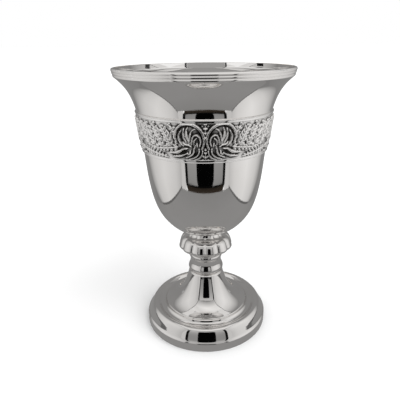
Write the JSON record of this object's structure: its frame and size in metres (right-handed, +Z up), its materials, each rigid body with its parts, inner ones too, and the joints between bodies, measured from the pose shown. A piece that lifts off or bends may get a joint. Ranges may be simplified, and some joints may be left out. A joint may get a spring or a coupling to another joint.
{
  "type": "silver goblet",
  "caption": "Raised silver goblet: flared bowl with reeded lip and applied scroll frieze, gadrooned knop, ringed stem and stepped domed foot.",
  "frame": {"origin": "centre of the foot's underside, on the surface the goblet stands on", "axes": "+Z up along the goblet's turning axis; -Y is the side where one mirror line of the frieze stands"},
  "size_m": [0.092, 0.0924, 0.1477],
  "materials": {
    "polished_silver": "mirror polished sterling silver",
    "chased_silver": "cast and chased sterling silver, bright on the crests and duller in the recesses"
  },
  "bodies": {
    "root": {"bowl": "polished_silver", "frieze_band": "chased_silver", "gadrooned_knop": "polished_silver", "stem_collar": "polished_silver", "foot": "polished_silver"}
  },
  "joints": []
}
